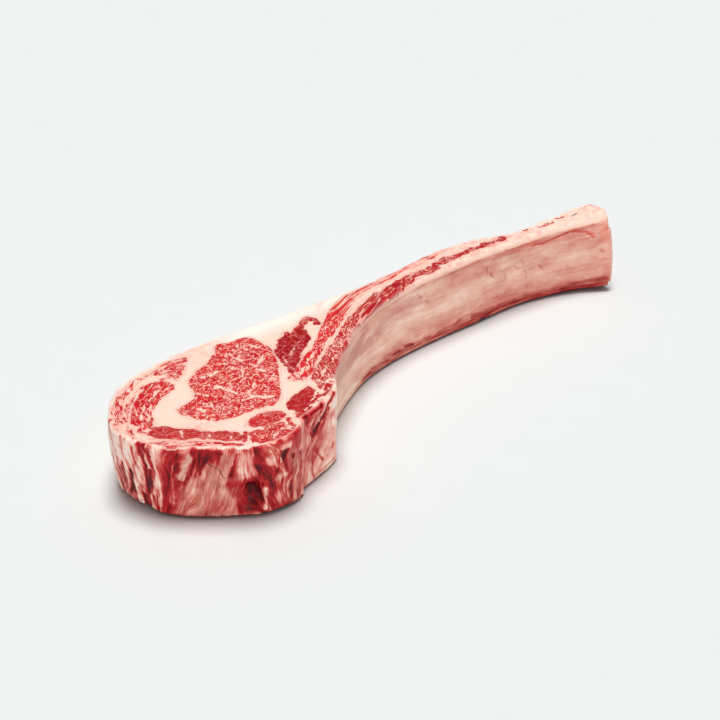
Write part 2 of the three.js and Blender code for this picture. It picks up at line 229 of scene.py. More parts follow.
def scatter(cell, seed):
    """A repeatable number from -1 to 1 for each whole-numbered cell."""
    mixed = np.full(cell.shape[:-1], seed * 7919 + 17, np.uint64)
    for axis, prime in enumerate((73856093, 19349663, 83492791)):
        mixed ^= cell[..., axis].astype(np.int64).astype(np.uint64) * np.uint64(prime)
    mixed = (mixed ^ (mixed >> np.uint64(13))) * np.uint64(0x9E3779B97F4A7C15)
    mixed ^= mixed >> np.uint64(29)
    mixed *= np.uint64(0xBF58476D1CE4E5B9)
    return (mixed >> np.uint64(40)).astype(float) / 2**23 - 1


def noise(places, size, seed=0, octaves=1):
    """Smooth noise from about -1 to 1 at places of three numbers, in cells of one size.

    Each further octave has cells half as large and 0.55 of the strength."""
    total = 0
    for octave in range(octaves):
        scaled = places * (2**octave / size) + octave * 17.3
        cell = np.floor(scaled)
        part = scaled - cell
        part = part * part * (3 - 2 * part)
        for corner in itertools.product((0, 1), repeat=3):
            weight = np.prod(np.where(corner, part, 1 - part), axis=-1)
            total = total + 0.55**octave * weight * scatter(cell + np.array(corner), seed + octave)
    return total


def lookup(at, table):
    """A table's second column where its first is at, with straight runs between its rows."""
    return np.interp(at, *zip(*table))


def spots(a, b, level=0):
    """Places of three numbers, one to a row, from two arrays and a level."""
    return np.stack([np.ravel(a), np.ravel(b), np.full(np.size(b), float(level))], 1)


def resample(points, steps):
    """Places at chosen steps along the smooth closed centripetal curve through the points, anticlockwise.

    steps maps the whole length to the distances wanted. Gives places, outward normals and distances."""
    p1 = np.array(points, float)
    p0, p2, p3 = np.roll(p1, 1, 0), np.roll(p1, -1, 0), np.roll(p1, -2, 0)
    t0, t1, t2 = (np.sqrt(np.linalg.norm(b - a, axis=1))[:, None] for a, b in ((p0, p1), (p1, p2), (p2, p3)))
    m1 = ((p1 - p0) / t0 - (p2 - p0) / (t0 + t1) + (p2 - p1) / t1) * t1
    m2 = ((p2 - p1) / t1 - (p3 - p1) / (t1 + t2) + (p3 - p2) / t2) * t1
    t = np.linspace(0, 1, 40, endpoint=False)[None, :, None]
    cubic = [part[:, None] for part in (p1, m1, 3 * (p2 - p1) - 2 * m1 - m2, 2 * (p1 - p2) + m1 + m2)]
    fine = (cubic[0] + cubic[1] * t + cubic[2] * t**2 + cubic[3] * t**3).reshape(-1, 2)
    after = np.roll(fine, -1, 0)
    if np.sum(fine[:, 0] * after[:, 1] - after[:, 0] * fine[:, 1]) < 0:
        fine = fine[::-1]
    fine = np.vstack([fine, fine[:1]])
    along = np.r_[0, np.cumsum(np.linalg.norm(np.diff(fine, axis=0), axis=1))]
    wanted = steps(along[-1])
    place = np.stack([np.interp(wanted, along, fine[:, k]) for k in (0, 1)], 1)
    ahead = np.roll(place, -1, 0) - np.roll(place, 1, 0)
    normal = np.stack([ahead[:, 1], -ahead[:, 0]], 1)
    return place, normal / np.linalg.norm(normal, axis=1)[:, None], wanted


def evenly(step):
    """Distances about a step apart, for resample."""
    return lambda length: np.linspace(0, length, round(length / step), endpoint=False)


def band(middle):
    """The outline of a band given by places along its middle with its width there."""
    sides = []
    for sign in (1, -1):
        side = []
        for i, (x, y, width) in enumerate(middle):
            before, after = middle[max(0, i - 1)], middle[min(len(middle) - 1, i + 1)]
            run = math.hypot(after[0] - before[0], after[1] - before[1])
            along_x, along_y = (width / 2 * (after[k] - before[k]) / run for k in (0, 1))
            side.append((x - sign * along_y, y + sign * along_x))
        sides.append(side)
    return sides[0] + sides[1][::-1]


def to_segments(places, ends):
    """The distance from each place to the nearest of the segments between ends that follow each other."""
    best = np.full(len(places), 1e9)
    for a, b in zip(ends[:-1], ends[1:]):
        run = b - a
        share = np.clip((places - a) @ run / max(run @ run, 1e-9), 0, 1)
        best = np.minimum(best, np.linalg.norm(places - a - share[:, None] * run, axis=1))
    return best


def enclosed(places, ring):
    """Whether each place lies inside a ring whose last point repeats its first."""
    odd = np.zeros(len(places), bool)
    for a, b in zip(ring[:-1], ring[1:]):
        crosses = (a[1] > places[:, 1]) != (b[1] > places[:, 1])
        reach = (b[0] - a[0]) * (places[:, 1] - a[1]) / ((b[1] - a[1]) or 1e-9) + a[0]
        odd ^= crosses & (places[:, 0] < reach)
    return odd


def depth_in(places, outline, far=20.0):
    """How far inside a closed outline each place lies; outside it is negative, and -far at the least."""
    ring = resample(outline, evenly(1.5))[0]
    ring = np.vstack([ring, ring[:1]])
    near = np.all((places > ring.min(0) - far) & (places < ring.max(0) + far), axis=1)
    depth = np.full(len(places), -far)
    depth[near] = np.where(enclosed(places[near], ring), 1, -1) * to_segments(places[near], ring)
    return depth


# ---------------- the form, as in the solids
def swell(x, y):
    """How far the upper face lies above its nominal height."""
    height, length_x, length_y = RIPPLE
    total = height * np.sin(x / length_x + 0.6) * np.sin(y / length_y + 1.1) - SEAM_SINK
    for at_x, at_y, reach_x, reach_y, height in DOMES:
        total = total + height * np.exp(-(((x - at_x) / reach_x) ** 2) - ((y - at_y) / reach_y) ** 2)
    return total


def settle(x, y, z):
    """A place with its true height: the rib's tip lifts off the table, and the upper face swells."""
    share = np.clip(z / THICKNESS, 0, 1)
    lift = TIP_LIFT * smooth(x, LIFT_START_X, TIP_X) ** 1.4
    return np.stack([x, y, z + lift * (1 - share) + swell(x, y) * share], -1)


def quarter(radius, drop):
    """How far a rounded edge is drawn in, at a distance past where its rounding begins."""
    return radius * (1 - np.sqrt(1 - np.clip(drop / radius, 0, 1) ** 2))


def hollow_side(x, normal_y):
    """1 on the side of the handle that curves in, 0 elsewhere."""
    return smooth(-normal_y, 0.1, 0.5) * smooth(x, HEEL_X - 4, HEEL_X + 12)


def wall_inset(x, normal_x, normal_y, z):
    """How far the wall is drawn in from the outline."""
    height = z / THICKNESS
    belly = np.sin(np.pi * height)
    hollow = hollow_side(x, normal_y)
    back = smooth(normal_y, 0.1, 0.7)
    sawn = smooth(normal_x, 0.5, 0.9)
    tip = smooth(x, TWIST_START_X, TIP_X)
    top = mix(mix(EDGE_ROUND, RIB_EDGE_ROUND, hollow), SAWN_ROUND, sawn)
    foot = mix(mix(FOOT_ROUND, TIP_FOOT_ROUND, hollow * tip), SAWN_ROUND, sawn)
    front = smooth(-0.6 * normal_x - 0.8 * normal_y, 0.1, 0.7)
    front = front * (1 - smooth(x, FRONT_END_X - 5, FRONT_END_X + 5))
    end = smooth(-normal_x, 0.55, 1) * (1 - hollow)
    heel = hollow * (1 - smooth(x, HANDLE_START_X - 10, HANDLE_START_X + 60))
    taper = (FRONT_TAPER * front + END_TAPER * end + HEEL_LEAN * heel) * np.maximum(1 - height, 0) ** 1.5
    rounding = quarter(top, z - (THICKNESS - top)) + quarter(foot, foot - z)
    return rounding + taper + (HOLLOW_DEPTH * hollow - BACK_BULGE * back) * belly


def dressed_inset(x, normal_x, normal_y, z):
    """The same with the flesh under the rib swelling outwards."""
    swollen = hollow_side(x, normal_y) * smooth(x, -60, -10) * (1 - smooth(x, 90, 150))
    return wall_inset(x, normal_x, normal_y, z) - LOW_BULGE * swollen * (1 - smooth(z, 5, 17))


def twist(x, y, z):
    """How far the handle's lower parts turn towards -Y near its tip."""
    along = np.clip((x - TWIST_START_X) / (TIP_X - TWIST_START_X), 0, 1) ** 2
    down = mix(TIP_TWIST_TOP, 1, np.cos(np.pi / 2 * np.clip(z / THICKNESS, 0, 1)) ** 0.7)
    bare = np.clip((TIP_BACK - y) / (TIP_BACK - TIP_FACE), 0, 1)
    return TIP_TWIST * along * down * mix(TIP_TWIST_BACK, 1, bare)


def saw_cut(x, z):
    """How far the sawn end leans back towards its foot."""
    return SAWN_LEAN * smooth(x, TIP_X - 5 * SAWN_LEAN, TIP_X) * np.clip(1 - z / THICKNESS, 0, 1)


def inside(place, normal, inset, z):
    """Where a point of the outline comes to lie, moved in by an inset, at a nominal height."""
    x, y = place[..., 0], place[..., 1]
    return settle(x - inset * normal[..., 0] - saw_cut(x, z), y - inset * normal[..., 1] - twist(x, y, z), z)


def unwander(x, y, z):
    """The place at the upper face that a column of lean has come from."""
    depth = 1 - np.clip(z / THICKNESS, 0, 1)
    reach_x, reach_y, length_x, length_y = WANDER
    return np.stack([
        x - reach_x * depth * np.sin(y / length_x + 0.8),
        y - reach_y * depth * np.sin(x / length_y - 0.4),
    ], -1)


# ---------------- meshes
def make_piece(name, points, faces, attributes, material):
    """A smooth-shaded mesh object from points in millimetres, with numbers or vectors kept at each point."""
    mesh = bpy.data.meshes.new(name)
    mesh.from_pydata((points * MM).tolist(), [], faces)
    for key, values in attributes.items():
        vector = values.ndim == 2
        layer = mesh.attributes.new(key, "FLOAT_VECTOR" if vector else "FLOAT", "POINT")
        layer.data.foreach_set("vector" if vector else "value", values.astype(np.float32).ravel())
    mesh.polygons.foreach_set("use_smooth", np.ones(len(mesh.polygons), bool))
    mesh.materials.append(material)
    mesh.validate()
    piece = bpy.data.objects.new(name, mesh)
    bpy.context.scene.collection.objects.link(piece)
    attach(piece, "root")
    return piece


def point_normals(points, faces):
    """Each point's outward direction, from the faces round it."""
    corners = np.array([face[:3] for face in faces])
    a, b, c = (points[corners[:, k]] for k in range(3))
    across = np.cross(b - a, c - a)
    normals = np.zeros_like(points)
    for k in range(3):
        np.add.at(normals, corners[:, k], across)
    return normals / np.maximum(np.linalg.norm(normals, axis=1), 1e-9)[:, None]


def tube_faces(rows, columns):
    """Quads between neighbouring rows of a closed tube whose points come row by row."""
    low = np.arange((rows - 1) * columns)
    right = low // columns * columns + (low + 1) % columns
    return np.stack([low, right, right + columns, low + columns], 1).tolist()


def fill(ring, cell, seed):
    """Fills a flat ring with triangles of about one size.

    Gives the places added inside it, and the faces, whose numbers count the ring's points first."""
    rng = np.random.default_rng(seed)
    low, high = ring.min(0), ring.max(0)
    grid_x, grid_y = np.meshgrid(np.arange(low[0], high[0], cell), np.arange(low[1], high[1], cell * 0.87))
    grid_x[1::2] += cell / 2
    grid = np.stack([grid_x.ravel(), grid_y.ravel()], 1)
    grid += rng.uniform(-0.12, 0.12, grid.shape) * cell
    closed = np.vstack([ring, ring[:1]])
    grid = grid[enclosed(grid, closed)]
    grid = grid[to_segments(grid, closed) > 0.6 * cell]
    count = len(ring)
    edges = [(i, (i + 1) % count) for i in range(count)]
    flat = [Vector(point) for point in np.vstack([ring, grid])]
    _, _, faces, origin, _, _ = delaunay_2d_cdt(flat, edges, [], 1, 1e-7)
    index = [first[0] for first in origin]
    return grid, [[index[k] for k in face] for face in faces]


# ---------------- marks on the walls
# What a mark is, its width, its strength, then the distance along the outline and the height of each place.
# Along the outline runs anticlockwise from the middle of the sawn end.
MARKS = [
    # the end across from the rib: ridges of fat with dark fibres between them, the deep marks partly painted
    # shade in the clefts
    ("red", 3.5, 0.5, 451, 27, 449, 14), ("red", 4, 0.45, 457, 46, 456, 30, 455, 12),
    ("white", 3, 0.7, 459.5, 52, 458.5, 41), ("white", 3, 0.7, 466, 34, 466, 8),
    ("white", 3, 0.6, 470, 52, 471, 24), ("deep", 3.4, 0.75, 463.4, 29, 462, 21, 460.5, 12),
    ("deep", 3, 0.65, 460.6, 14, 459, 8), ("red", 1.8, 0.6, 467.5, 51, 467, 30),
    ("red", 1.4, 0.5, 446, 48, 443, 30, 441, 12), ("red", 1.2, 0.5, 451, 40, 447, 22, 446, 8),
    ("deep", 1.2, 0.45, 456, 34, 453, 20, 452, 8), ("red", 2.2, 0.55, 471, 28, 471, 21),
    ("deep", 2, 0.55, 468, 18, 468.5, 6), ("deep", 4.6, 0.75, 471.5, 13, 473, 4),
    ("red", 3.4, 1, 473, 56, 475, 40, 476, 30, 477, 20), ("deep", 3, 0.9, 475.5, 41, 476, 28, 476.5, 22),
    ("red", 2.4, 0.9, 476, 56, 480, 44, 481, 40), ("red", 1.6, 0.8, 479, 55, 480, 49),
    ("red", 1.3, 0.7, 481.5, 50, 482.5, 40, 482, 30), ("deep", 3.6, 0.8, 479.5, 36, 478.6, 27, 477, 18),
    ("red", 2.6, 0.9, 480, 15, 482, 3), ("red", 1.8, 0.8, 477, 10, 476, 4),
    ("white", 1.8, 0.9, 482, 54, 484, 35, 485, 20, 484.5, 4), ("salmon", 6, 0.5, 487, 55, 486, 40),
    # the bright red band and the darker lines beside it
    ("red", 6, 1, 496, 55, 493.5, 48, 491.5, 40, 489.5, 29, 488.8, 15, 487.6, 2),
    ("deep", 2, 0.35, 491, 36, 489.5, 24, 489, 8), ("deep", 5, 0.35, 499, 51, 496, 37),
    ("deep", 2, 0.6, 498, 52, 495.6, 41, 494.2, 34), ("white", 1, 0.6, 494.5, 44, 493.4, 30, 493.6, 17),
    ("red", 3.6, 0.75, 500, 31, 496, 27), ("red", 2.4, 0.6, 495.6, 23, 494.4, 15),
    # silverskin with red meat under its upper edge
    ("skin", 5.4, 0.9, 505, 51, 502.3, 42), ("skin", 4.6, 0.95, 502.6, 43, 499, 34.5),
    ("salmon", 1.8, 0.6, 502, 50, 500, 42), ("red", 5, 1, 508, 54, 515, 54, 523, 52.5),
    ("deep", 11, 0.4, 511, 49, 511, 45), ("deep", 1.5, 0.6, 508.6, 50, 505.6, 36),
    ("deep", 1.4, 0.5, 511, 50, 508.6, 35), ("deep", 1.6, 0.55, 513.6, 50, 511.6, 37),
    ("deep", 1.5, 0.5, 516, 50, 514.6, 41), ("deep", 1.3, 0.4, 519, 51, 518, 45),
    ("white", 1.2, 0.9, 515.6, 45, 513.2, 33), ("tan", 9, 0.9, 519, 41, 518, 34),
    ("skin", 3.4, 0.55, 527, 50, 525, 42), ("red", 3, 0.6, 522.5, 50, 524, 45),
    ("tan", 8, 0.8, 528, 49, 525, 38), ("line", 0.9, 0.9, 516, 45.3, 519.5, 43.5, 523, 39, 526, 33),
    ("deep", 3.2, 0.7, 535.6, 52, 533, 44, 530, 35),
    # the smooth membrane below
    ("tan", 26, 0.72, 509, 16, 522, 14), ("pink", 6, 0.45, 507, 31, 504, 6),
    ("pink", 3, 0.4, 516, 28, 514, 10), ("salmon", 9, 0.5, 519, 12, 527, 9),
    ("red", 3, 0.45, 528, 28, 532, 18), ("red", 5, 0.7, 534, 18, 534, 6), ("deep", 2, 0.6, 533, 12, 536, 4),
    # round the pocket, whose middle is darkened with painted shade in its hole
    ("pink", 11, 0.8, 540, 47, 541, 38), ("red", 4.6, 0.8, 529, 28, 535, 28.5, 541, 31, 547, 31),
    ("deep", 15, 1, 543, 22, 543.4, 13), ("pink", 1, 0.4, 540, 30, 537.6, 22, 536, 14),
    ("red", 5, 0.8, 549.5, 32, 549.5, 20), ("white", 1.8, 0.8, 552, 22, 551.5, 6),
    ("deep", 3, 0.7, 545, 8, 551, 3),
    # bundles of fibre pulled apart on the corner
    ("red", 3.2, 0.7, 545, 50, 546.5, 44, 549, 38), ("deep", 3.4, 0.75, 546.5, 42, 549, 36, 552.5, 31),
    ("red", 11, 0.9, 555, 37, 558, 35.5), ("deep", 3.6, 0.8, 561, 35, 560.5, 33),
    ("deep", 4.2, 0.95, 567.6, 48, 564.4, 43.5), ("red", 6, 0.75, 564, 40, 567, 34),
    ("white", 5, 0.8, 554, 45, 556, 43), ("white", 5, 1, 563, 51.4, 569, 50.6),
    ("red", 4, 0.8, 569, 44, 568, 36), ("white", 1, 1, 562.6, 44, 562.6, 40),
    ("tan", 9, 0.9, 572, 42, 575, 32), ("deep", 2, 0.8, 573.4, 41.5, 573, 40),
    ("red", 5, 0.8, 553.4, 26, 559, 24), ("tan", 5, 0.8, 561.5, 28.4, 566, 27.6),
    ("red", 3.6, 0.9, 557, 16, 561, 20, 565, 23, 570, 27), ("salmon", 9, 0.7, 562, 13, 566, 7),
    ("red", 2.4, 0.7, 556.4, 14, 558, 7), ("tan", 13, 0.9, 576, 19, 576.4, 9),
    ("red", 3, 0.6, 572.6, 21, 572, 8), ("deep", 1.6, 0.4, 570.4, 22, 570.6, 9),
    ("red", 3.4, 0.6, 577, 23, 578, 7), ("red", 2, 0.6, 581, 21, 581.4, 8),
    ("deep", 3, 0.8, 580.4, 39, 583, 36), ("red", 3, 0.6, 583, 37, 589, 28),
    ("pink", 9, 0.85, 587, 57, 588, 30, 586, 2), ("red", 1.8, 0.5, 581, 41, 589, 32),
    ("red", 1.6, 0.45, 582, 31, 590, 23), ("tan", 3, 0.5, 592, 44, 592, 10),
    # the flank between the crease and the heel
    ("deep", 5, 0.85, 594, 57, 595, 52), ("red", 12, 0.55, 598, 50, 605, 44),
    ("deep", 2.6, 0.75, 599, 55.5, 610, 56), ("deep", 7, 0.3, 602, 41, 611, 49),
    ("skin", 7, 0.55, 600, 47, 608, 50), ("deep", 2.6, 0.6, 600, 38, 606, 43.5, 612, 48, 618, 54),
    ("deep", 1.6, 0.45, 598, 44, 603, 49, 608, 53), ("red", 2.4, 0.75, 604, 36, 611, 42, 618, 49),
    ("deep", 3, 0.75, 617, 53.5, 625, 55), ("red", 1.3, 0.6, 599.4, 24, 598.8, 15, 600.5, 4),
    ("red", 3.4, 0.8, 602.4, 27, 604, 24), ("red", 1.4, 0.7, 604, 24, 606.5, 17, 610.5, 12),
    ("red", 2.6, 0.3, 620, 41, 621, 31), ("red", 1.8, 0.5, 621, 19, 621.5, 15),
    ("deep", 2, 0.3, 606, 5, 622, 5),
]
# The same on the hollow side, by x and height.
HOLLOW_MARKS = [
    ("blue", 20, 0.8, -47, 38, -30, 36, -22, 35), ("blue", 11, 0.7, -14, 30, -5, 31),
    ("blue", 10, 0.6, 2, 36, 22, 42, 44, 41), ("blue", 8, 0.45, 8, 31, 34, 34),
    ("white", 13, 0.3, -30, 18, 20, 21, 60, 27, 105, 29), ("red", 2, 0.5, -16, 45, -12, 43),
    ("red", 1.8, 0.34, 44, 46, 47, 42), ("red", 1.8, 0.3, 51, 37, 54, 34),
    ("deep", 2, 0.45, -14, 5, -8, 5.4, -3, 7.6, 8, 7, 13, 5), ("deep", 2.2, 0.4, 19, 7.6, 25, 7),
    ("deep", 2, 0.55, 30, 9, 37, 7), ("deep", 1.8, 0.35, 47, 8.5, 53, 7), ("salmon", 4, 0.4, 56, 4, 90, 3),
    ("deep", 1.6, 0.4, 60, 8, 75, 8, 82, 9), ("deep", 3.6, 0.4, 92, 7.4, 104, 6, 122, 6, 134, 4.6),
    ("salmon", 6, 0.5, 110, 4, 170, 5), ("deep", 3.2, 0.95, 100, 1.4, 109, 0.8),
    ("salmon", 3, 0.4, -10, 3, 50, 3), ("deep", 6, 0.75, 172, 4, 186, 6, 204, 8),
    ("salmon", 5, 0.5, 170, 4, 206, 7), ("red", 1.2, 0.34, 105.5, 45, 106.5, 39),
    ("red", 1.5, 0.45, 109.5, 38, 111.5, 33), ("red", 1.1, 0.22, 122, 33, 124, 26),
    ("red", 1.4, 0.3, 131, 36, 134.5, 32), ("red", 1.4, 0.32, 137, 39, 138.4, 36),
    ("red", 1, 0.3, 140, 30, 142, 22), ("red", 1.6, 0.38, 141, 17, 142, 14.5),
    ("red", 1.6, 0.38, 151.5, 30, 155, 26.5), ("red", 1.5, 0.22, 173, 24, 177, 21),
    ("red", 1.8, 0.34, 201, 32, 204, 30), ("ember", 5, 0.8, 138, 50.5, 148, 50.5),
    ("red", 1.3, 0.8, 146, 49, 156, 47.6, 166, 49, 178, 50, 189, 48.5, 195, 43),
    ("ember", 3, 0.7, 146, 49, 156, 48, 166, 49.4, 178, 50.4), ("ember", 5, 0.85, 176, 52, 182, 51),
    ("ember", 3, 0.8, 184, 49, 192, 47, 196, 44), ("ember", 9, 0.35, 203, 52, 206, 40),
    ("ember", 7, 0.3, 204, 26, 206, 12), ("tan", 9, 0.4, 110, 51, 200, 51),
]
# The same on the upper cut face, by x and y: torn bits of red and dark gaps along the rib.
TOP_MARKS = [
    ("deep", 3.2, 0.7, -109, -54.5, -98, -49.5, -88, -44.5), ("deep", 2.6, 0.7, -84, -42, -76, -37),
    ("deep", 3.4, 0.5, -97, -44, -90, -41), ("red", 5, 0.8, -73, -27, -71, -31),
    ("red", 2.4, 1, 145.5, 48, 149, 46.8), ("red", 1.6, 0.9, 151, 47.2, 153, 45),
    ("red", 2, 1, 156, 44.6, 161, 43.6, 169.5, 43.2), ("line", 0.9, 0.9, 158, 46, 170, 44.6),
    ("red", 2.2, 1, 173.5, 46.2, 180.5, 45.6), ("deep", 1.2, 0.8, 176, 46, 179, 45.6),
    ("line", 1, 1, 184, 42, 190, 42.6, 198, 45, 203, 46.6),
    ("red", 1.8, 0.9, 200, 46.6, 207.5, 46.4, 210.5, 42.5),
]


def warped(places, seed, reach=1.0):
    """Places moved about a little, so that what is painted there has a torn edge."""
    shift = [reach * noise(spots(*places.T), 4.5, seed + k, 2) for k in (0, 5)]
    return places + np.stack(shift, 1)


# The tone that a kind of mark brings, from 0 for pale fat to 1 for the darkest red, and the kinds that tint.
TONES = {"white": 0.1, "skin": 0.24, "pink": 0.26, "tan": 0.34, "salmon": 0.46, "red": 0.7, "deep": 1.0}
TINTS = ("tan", "skin", "line", "blue", "ember")


def paint(marks, places, tone, tan, seed):
    """Lays marks one over another on a tone and a share of membrane, and gives the tone and every tint."""
    torn = warped(places, seed, 0.9)
    tints = {kind: np.zeros(len(places)) for kind in TINTS}
    tints["tan"] = tan
    for kind, width, strength, *line in marks:
        away = to_segments(torn, np.reshape(line, (-1, 2)))
        cover = strength * smooth(-away / (width / 2), -1.6, -0.35)
        if kind in TONES:
            tone = mix(tone, TONES[kind], cover)
        for tint in TINTS:
            if tint == kind:
                tints[tint] = np.maximum(tints[tint], cover)
            elif kind in TONES:
                tints[tint] = tints[tint] * (1 - cover)
    return tone, tints


# How far the fibres of the front wall lean sideways for each millimetre up, by place along the outline.
FIBRE_LEAN = [
    (436, 0.35), (455, 0.15), (474, 0.11), (484, 0), (492, -0.15), (503, -0.45), (512, -0.12), (520, -0.3),
    (534, -0.2), (548, 0.4), (562, 0.2), (575, -0.1), (590, 0), (598, -0.9), (612, -0.8), (626, 0), (650, 0),
]
# By place along the outline: the front wall's tone high up and low down, its share of brown membrane and
# how streaky it is. Towards the heel the tone falls to the palest, which is pale fat and partly a painted
# highlight on its curve.
WALL_BASE = [
    (424, 0.08, 0.1, 0, 0.4), (438, 0.06, 0.14, 0, 0.85), (452, 0.08, 0.2, 0.1, 0.9),
    (470, 0.17, 0.34, 0.1, 0.75), (482, 0.26, 0.34, 0.1, 0.6), (492, 0.42, 0.46, 0.2, 0.35),
    (504, 0.52, 0.36, 0.8, 0.34), (522, 0.47, 0.42, 0.95, 0.28), (536, 0.46, 0.5, 0.7, 0.4),
    (546, 0.64, 0.64, 0.5, 0.5), (562, 0.66, 0.62, 0.6, 0.55), (576, 0.58, 0.62, 0.7, 0.45),
    (586, 0.3, 0.3, 0.1, 0.3), (594, 0.44, 0.16, 0.4, 0.3), (606, 0.4, 0.14, 0.3, 0.3),
    (622, 0.12, 0.14, 0, 0.16), (636, 0.0, 0.03, 0, 0.1),
]
# How far its fibres are drawn out.
FIBRE_LONG = [(490, 9), (502, 8), (530, 7), (548, 5), (580, 5), (592, 6), (640, 8)]
# 0 where the cut face's fat hangs over the wall's upper edge, and 1 where it doesn't.
RIM = [(440, 0), (462, 0.4), (496, 0.3), (502, 0.7), (536, 0.7), (546, 0.5), (556, 1), (640, 1)]
# The rib face's tone by height.
FACE_TONE = [
    (0, 0.4), (4, 0.4), (7, 0.42), (10, 0.27), (16, 0.17), (26, 0.12), (36, 0.16), (44, 0.19), (52, 0.16),
    (57, 0.08),
]
FRONT_FROM = (424, 440)  # along the outline the front wall's looks begin here
FRONT_TO = (640, 650)
POCKET_AT = (543, 18)  # the small hole in the front wall: along, height
POCKET_REACH = (11, 12.5)
POCKET_DEPTH = 6.5
FRAYED = np.array([(598, 38), (606, 45), (615, 51)])  # the middle of the torn patch on the flank


def front_looks(along, z):
    """What shows on the front wall: tone, tints, streakiness, the fibres' own coordinates and relief."""
    spot = spots(along, z)
    at, *rows = zip(*WALL_BASE)
    high, low, membrane, streaky = (np.interp(along, at, row) for row in rows)
    tone = mix(low, high, smooth(z, 8, 46)) + 0.2 * noise(spot, 7, 8, 3)
    tone, tints = paint(MARKS, spot[:, :2], tone, membrane * (1 - smooth(z, 28, 46)), 11)
    across = along + 1.8 * noise(spot, 15, 12) + lookup(along, FIBRE_LEAN) * (z - THICKNESS / 2)
    fibre = spots(across, z / lookup(along, FIBRE_LONG))
    coarse = noise(fibre, 4.2, 3, 2)
    fine = noise(fibre, 1.7, 4, 2)
    tone = tone + 0.05 * noise(spot, 9, 15, 2)
    tone = tone + streaky * (0.42 * coarse + 0.26 * fine) * (1 - 0.6 * tints["skin"])
    frayed = 1 - smooth(to_segments(spot[:, :2], FRAYED), 2, 7)
    tone = tone + frayed * 0.45 * noise(spot + noise(spot, 3, 17)[:, None], 1.6, 16, 3)
    relief = -1.5 * (tone - 0.3) + 0.5 * tints["skin"] - 0.6 * tints["line"] + 0.3 * coarse
    away = np.hypot(*((spot[:, :2] - POCKET_AT) / POCKET_REACH).T)
    relief -= POCKET_DEPTH * (1 - smooth(away, 0.3, 1.15))
    return tone, tints, streaky, fibre, relief


def face_looks(x, z):
    """The same on the rib's face and the flesh above and below it."""
    spot = spots(x, z)
    low = 1 - smooth(z, 6, 14)
    tone = lookup(z, FACE_TONE) - 0.4 * low * (1 - smooth(x, -34, -4)) + 0.14 * low * smooth(x, 40, 150)
    tone = tone + 0.09 * noise(spot * [0.4, 1, 1], 8, 8, 3) + 0.07 * smooth(x, 10, 90)
    tone, tints = paint(HOLLOW_MARKS, spot[:, :2], tone, mix(1, 0.75, smooth(z, 4, 9)), 31)
    tints["tan"] = np.maximum(tints["tan"], 0.8)
    fibre = spots(z + 1.5 * noise(spot * [0.3, 1, 1], 12, 14), x / 7, 40)
    coarse = noise(fibre, 3.2, 3, 2)
    streaky = mix(0.16, 0.4, np.maximum(low, smooth(z, 48, 54)))
    tone = tone + streaky * 0.3 * coarse
    return tone, tints, streaky, fibre, -0.9 * (tone - 0.2) + 0.2 * coarse - 0.5 * tints["line"]


def wall_looks(along, x, z, hollow, back):
    """The same on the whole outer wall."""
    front = smooth(along, *FRONT_FROM) * (1 - smooth(along, *FRONT_TO))
    spot = spots(along, z)
    bulge = noise(spot, 17, 9, 2)
    tone = mix(0.16, 0.06, back) + 0.07 * bulge + 0.05 * noise(spot, 5, 10, 2)
    tints = {kind: 0 * z for kind in TINTS}
    streaky, fibre, relief = 0.15 + 0 * z, spots(z, along / 9, 40), back * 0.7 * bulge
    for share, looks in ((hollow, face_looks(x, z)), (front, front_looks(along, z))):
        tone, streaky, relief = (mix(*pair, share) for pair in zip((tone, streaky, relief), looks[::2]))
        tints = {kind: mix(tints[kind], looks[1][kind], share) for kind in TINTS}
        fibre = np.where((share > 0.5)[:, None], looks[3], fibre)
    return tone, tints, streaky, fibre, relief


# ---------------- the rib's bare face
def bone_high(x):
    return mix(BONE_HIGH, BONE_HIGH_TIP, smooth(x, SLIM_START_X, SLIM_END_X))


def bared(x, z, hollow):
    """1 where the rib lies bare in the wall, 0 where flesh covers it."""
    ragged = 1.1 * noise(spots(x, z), 7, 51, 3).reshape(np.shape(z))
    edge = np.minimum(z - BONE_LOW, bone_high(x) - z) + ragged
    start = HEEL_X + BONE_START
    return smooth(edge, 0.8, 3.2) * smooth(x + 2 * ragged, start + 2, start + 10) * smooth(hollow, 0.6, 0.9)


# ---------------- the flesh
def wall_grid():
    """The outer wall's points in rows from the foot up.

    With them come, for each, x on the outline, the outward normal there, the distance along the outline,
    the nominal height, and 1 or less where it lies on the hollow side."""
    def steps(length):
        return np.r_[
            np.arange(0, FINE_FROM, COARSE_STEP),
            np.arange(FINE_FROM, FINE_TO, FINE_STEP),
            np.arange(FINE_TO, length - COARSE_STEP / 2, COARSE_STEP),
        ]

    place, normal, along = resample(OUTLINE, steps)
    between = np.arange(ROWS_FROM, THICKNESS - ROWS_FROM, WALL_ROW)
    heights = np.r_[FOOT_ROWS, between, THICKNESS - np.array(EDGE_ROWS[::-1])]
    shape = (len(heights), len(along))
    z = np.broadcast_to(heights[:, None], shape)
    x = np.broadcast_to(place[:, 0], shape)
    normals = np.broadcast_to(normal, shape + (2,))
    inset = dressed_inset(x, normals[..., 0], normals[..., 1], z)
    hollow = hollow_side(x, normals[..., 1])
    inset = inset + BEHIND_RIB * bared(x, z, hollow)
    soft = (1 - smooth(normals[..., 1], 0.1, 0.5)) * (1 - smooth(normals[..., 0], 0.5, 0.8))
    high = lookup(along, UNDERCUT_HIGH)
    inset = inset + UNDERCUT * high * soft * (1 - smooth(z, 0.5 * high, high))
    points = inside(np.broadcast_to(place, shape + (2,)), normals, inset, z)
    return points, x, normals, np.broadcast_to(along, shape), z, hollow


